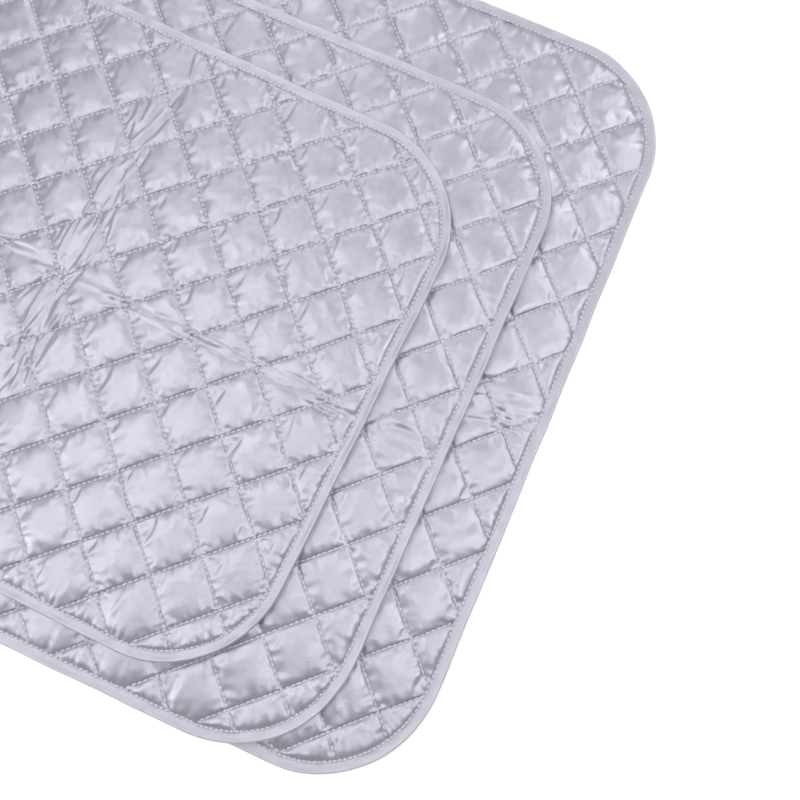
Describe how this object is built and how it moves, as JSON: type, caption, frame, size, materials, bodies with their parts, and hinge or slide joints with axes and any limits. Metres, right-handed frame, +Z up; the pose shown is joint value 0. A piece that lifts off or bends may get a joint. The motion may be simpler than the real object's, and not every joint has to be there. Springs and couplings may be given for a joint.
{
  "type": "ironing pad set",
  "caption": "Quilted ironing pads in stepped sizes with rounded corners and a taped edge, stacked flat, for ironing on a table or covering a board.",
  "frame": {"origin": "middle of the stack's footprint, on the surface it lies on", "axes": "+X along the pads towards their stepped front ends, +Y across them, +Z up"},
  "size_m": [0.6, 0.553, 0.0186],
  "materials": {
    "silver_cloth": "satin silver-coated cloth",
    "white_wadding": "matt fibre wadding",
    "backing_cloth": "matt plain cloth",
    "silver_tape": "satin folded tape",
    "pale_thread": "matt sewing thread"
  },
  "bodies": {
    "large_pad": {"large_face_cover": "silver_cloth", "large_wadding": "white_wadding", "large_backing": "backing_cloth", "large_edge_binding": "silver_tape", "large_binding_thread": "pale_thread"},
    "medium_pad": {"medium_face_cover": "silver_cloth", "medium_wadding": "white_wadding", "medium_backing": "backing_cloth", "medium_edge_binding": "silver_tape", "medium_binding_thread": "pale_thread"},
    "small_pad": {"small_face_cover": "silver_cloth", "small_wadding": "white_wadding", "small_backing": "backing_cloth", "small_edge_binding": "silver_tape", "small_binding_thread": "pale_thread"}
  },
  "joints": [
    {"name": "medium_pad_lift", "type": "slide", "parent": "large_pad", "child": "medium_pad", "axis": [0, 0, 1], "range_m": [0, 0.15]},
    {"name": "small_pad_lift", "type": "slide", "parent": "medium_pad", "child": "small_pad", "axis": [0, 0, 1], "range_m": [0, 0.15]}
  ]
}
